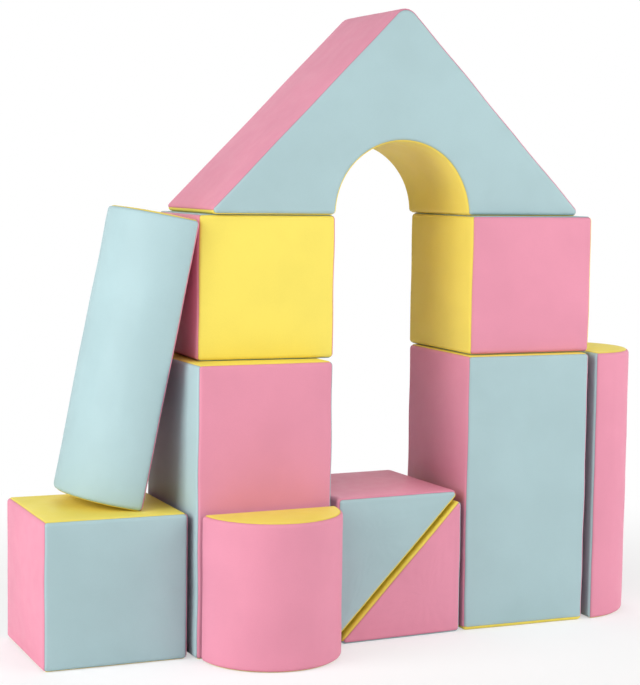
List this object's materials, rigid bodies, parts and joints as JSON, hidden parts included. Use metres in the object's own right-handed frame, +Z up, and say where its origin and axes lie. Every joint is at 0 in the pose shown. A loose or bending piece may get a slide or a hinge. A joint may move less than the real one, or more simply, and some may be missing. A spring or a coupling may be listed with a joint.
{
  "type": "soft building block castle",
  "caption": "Castle of soft covered foam blocks: cubes, pillars, half rolls, paired wedges and an arched gable roof that slide and lift off each other, each with a zipped cover.",
  "frame": {"origin": "on the floor, below the middle of the whole set's box", "axes": "+X along the front from the corner cube to the side roll, +Y towards the back, +Z up"},
  "size_m": [1.4086, 0.528, 1.334],
  "materials": {
    "foam": "matte cut foam",
    "cloth_blue": "satin coated cloth",
    "cloth_pink": "satin coated cloth",
    "cloth_yellow": "satin coated cloth",
    "zip_metal": "satin nickel"
  },
  "bodies": {
    "left_pillar": {"left_pillar_foam": "foam", "left_pillar_face_panels": "cloth_pink", "left_pillar_side_panels": "cloth_blue", "left_pillar_end_panels": "cloth_yellow"},
    "left_pillar_slider": {"left_pillar_zip_slider": "zip_metal"},
    "right_pillar": {"right_pillar_foam": "foam", "right_pillar_face_panels": "cloth_blue", "right_pillar_side_panels": "cloth_pink", "right_pillar_end_panels": "cloth_yellow"},
    "right_pillar_slider": {"right_pillar_zip_slider": "zip_metal"},
    "corner_cube": {"corner_cube_foam": "foam", "corner_cube_face_panels": "cloth_blue", "corner_cube_side_panels": "cloth_pink", "corner_cube_end_panels": "cloth_yellow"},
    "corner_cube_slider": {"corner_cube_zip_slider": "zip_metal"},
    "left_top_cube": {"left_top_cube_foam": "foam", "left_top_cube_face_panels": "cloth_yellow", "left_top_cube_side_panels": "cloth_pink", "left_top_cube_end_panels": "cloth_blue"},
    "left_top_cube_slider": {"left_top_cube_zip_slider": "zip_metal"},
    "right_top_cube": {"right_top_cube_foam": "foam", "right_top_cube_face_panels": "cloth_pink", "right_top_cube_side_panels": "cloth_yellow", "right_top_cube_end_panels": "cloth_blue"},
    "right_top_cube_slider": {"right_top_cube_zip_slider": "zip_metal"},
    "front_roll": {"front_roll_foam": "foam", "front_roll_curved_panel": "cloth_pink", "front_roll_flat_panel": "cloth_blue", "front_roll_end_panels": "cloth_yellow"},
    "front_roll_slider": {"front_roll_zip_slider": "zip_metal"},
    "leaning_roll": {"leaning_roll_foam": "foam", "leaning_roll_curved_panel": "cloth_blue", "leaning_roll_flat_panel": "cloth_pink", "leaning_roll_end_panels": "cloth_yellow"},
    "leaning_roll_slider": {"leaning_roll_zip_slider": "zip_metal"},
    "side_roll": {"side_roll_foam": "foam", "side_roll_curved_panel": "cloth_pink", "side_roll_flat_panel": "cloth_blue", "side_roll_end_panels": "cloth_yellow"},
    "side_roll_slider": {"side_roll_zip_slider": "zip_metal"},
    "upper_wedge": {"upper_wedge_foam": "foam", "upper_wedge_face_panels": "cloth_blue", "upper_wedge_leg_panel": "cloth_pink", "upper_wedge_slope_panel": "cloth_yellow"},
    "upper_wedge_slider": {"upper_wedge_zip_slider": "zip_metal"},
    "lower_wedge": {"lower_wedge_foam": "foam", "lower_wedge_face_panels": "cloth_pink", "lower_wedge_leg_panel": "cloth_blue", "lower_wedge_slope_panel": "cloth_yellow"},
    "lower_wedge_slider": {"lower_wedge_zip_slider": "zip_metal"},
    "arch_roof": {"arch_roof_foam": "foam", "arch_roof_face_panels": "cloth_blue", "arch_roof_slope_panel": "cloth_pink", "arch_roof_base_panels": "cloth_yellow", "arch_roof_arch_lining": "cloth_yellow"},
    "arch_roof_slider": {"arch_roof_zip_slider": "zip_metal"}
  },
  "joints": [
    {"name": "roof_lift", "type": "slide", "parent": "left_pillar", "child": "arch_roof", "axis": [0, 0, 1], "range_m": [0, 0.3]},
    {"name": "left_top_cube_pull", "type": "slide", "parent": "left_pillar", "child": "left_top_cube", "axis": [0, -1, 0], "range_m": [0, 0.2]},
    {"name": "right_pillar_slide", "type": "slide", "parent": "left_pillar", "child": "right_pillar", "axis": [1, 0, 0], "range_m": [0, 0.2]},
    {"name": "right_top_cube_pull", "type": "slide", "parent": "right_pillar", "child": "right_top_cube", "axis": [0, -1, 0], "range_m": [0, 0.2]},
    {"name": "side_roll_slide", "type": "slide", "parent": "right_pillar", "child": "side_roll", "axis": [1, 0, 0], "range_m": [0, 0.2]},
    {"name": "corner_cube_slide", "type": "slide", "parent": "left_pillar", "child": "corner_cube", "axis": [-1, 0, 0], "range_m": [0, 0.2]},
    {"name": "leaning_roll_tilt", "type": "hinge", "parent": "corner_cube", "child": "leaning_roll", "pos_m": [-0.48265, 0.10528, 0.3103], "axis": [-0.0663, -0.9978, 0], "range_deg": [0, 11.3]},
    {"name": "front_roll_slide", "type": "slide", "parent": "left_pillar", "child": "front_roll", "axis": [0, -1, 0], "range_m": [0, 0.25]},
    {"name": "lower_wedge_slide", "type": "slide", "parent": "left_pillar", "child": "lower_wedge", "axis": [0.0244, -0.9997, 0], "range_m": [0, 0.25]},
    {"name": "upper_wedge_lift", "type": "slide", "parent": "lower_wedge", "child": "upper_wedge", "axis": [0, 0, 1], "range_m": [0, 0.25]},
    {"name": "left_pillar_zip_pull", "type": "slide", "parent": "left_pillar", "child": "left_pillar_slider", "axis": [-1, 0, 0], "range_m": [0, 0.198]},
    {"name": "right_pillar_zip_pull", "type": "slide", "parent": "right_pillar", "child": "right_pillar_slider", "axis": [-0.9991, 0.0419, 0], "range_m": [0, 0.198]},
    {"name": "corner_cube_zip_pull", "type": "slide", "parent": "corner_cube", "child": "corner_cube_slider", "axis": [-0.9997, 0.0262, 0], "range_m": [0, 0.198]},
    {"name": "left_top_cube_zip_pull", "type": "slide", "parent": "left_top_cube", "child": "left_top_cube_slider", "axis": [-0.9978, 0.0663, 0], "range_m": [0, 0.198]},
    {"name": "right_top_cube_zip_pull", "type": "slide", "parent": "right_top_cube", "child": "right_top_cube_slider", "axis": [-0.9997, 0.0262, 0], "range_m": [0, 0.198]},
    {"name": "front_roll_zip_pull", "type": "slide", "parent": "front_roll", "child": "front_roll_slider", "axis": [-1, 0, 0], "range_m": [0, 0.198]},
    {"name": "leaning_roll_zip_pull", "type": "slide", "parent": "leaning_roll", "child": "leaning_roll_slider", "axis": [0.0663, 0.9978, 0], "range_m": [0, 0.198]},
    {"name": "side_roll_zip_pull", "type": "slide", "parent": "side_roll", "child": "side_roll_slider", "axis": [-0.0419, -0.9991, 0], "range_m": [0, 0.198]},
    {"name": "upper_wedge_zip_pull", "type": "slide", "parent": "upper_wedge", "child": "upper_wedge_slider", "axis": [-0.0244, 0.9997, 0], "range_m": [0, 0.198]},
    {"name": "lower_wedge_zip_pull", "type": "slide", "parent": "lower_wedge", "child": "lower_wedge_slider", "axis": [-0.0244, 0.9997, 0], "range_m": [0, 0.198]},
    {"name": "arch_roof_zip_pull", "type": "slide", "parent": "arch_roof", "child": "arch_roof_slider", "axis": [-0.7027, 0.0245, 0.7111], "range_m": [0, 0.198]}
  ]
}
